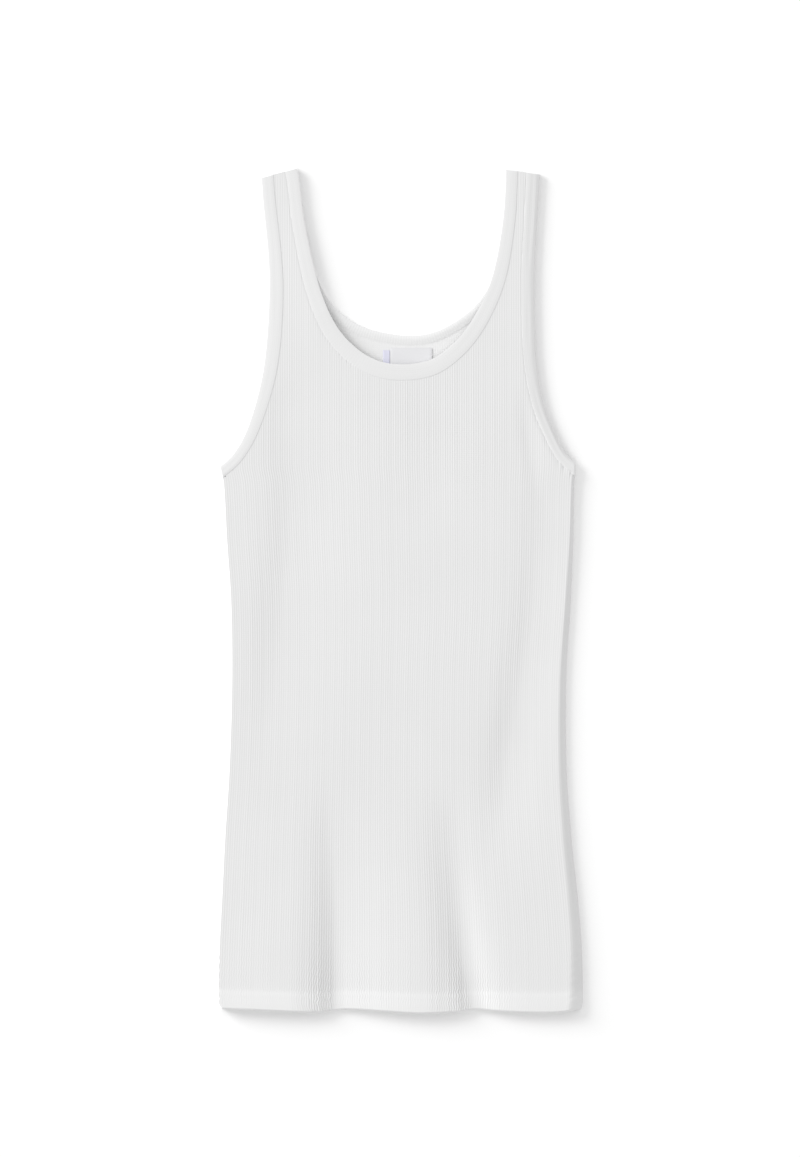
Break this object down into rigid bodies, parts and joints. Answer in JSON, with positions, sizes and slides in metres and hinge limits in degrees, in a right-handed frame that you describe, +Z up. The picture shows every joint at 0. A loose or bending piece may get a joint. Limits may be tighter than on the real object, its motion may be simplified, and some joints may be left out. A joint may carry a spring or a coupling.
{
  "type": "tank top",
  "caption": "Sleeveless ribbed cotton tank top with bound neck and armholes, laid flat with its front up.",
  "frame": {"origin": "on the surface that the garment lies on, under the middle of its length and width", "axes": "+Y from the hem to the straps, +X to the right of the front seen from above, +Z up out of the front"},
  "size_m": [0.3036, 0.703, 0.01],
  "materials": {
    "rib_cotton": "matte rib knit",
    "binding_cotton": "matte rib knit",
    "label_tape": "smooth woven tape",
    "tab_tape": "smooth woven tape"
  },
  "bodies": {
    "root": {"front_panel": "rib_cotton", "back_panel": "rib_cotton", "neck_binding": "binding_cotton", "left_armhole_binding": "binding_cotton", "right_armhole_binding": "binding_cotton", "neck_label": "label_tape", "care_tab": "tab_tape"}
  },
  "joints": []
}
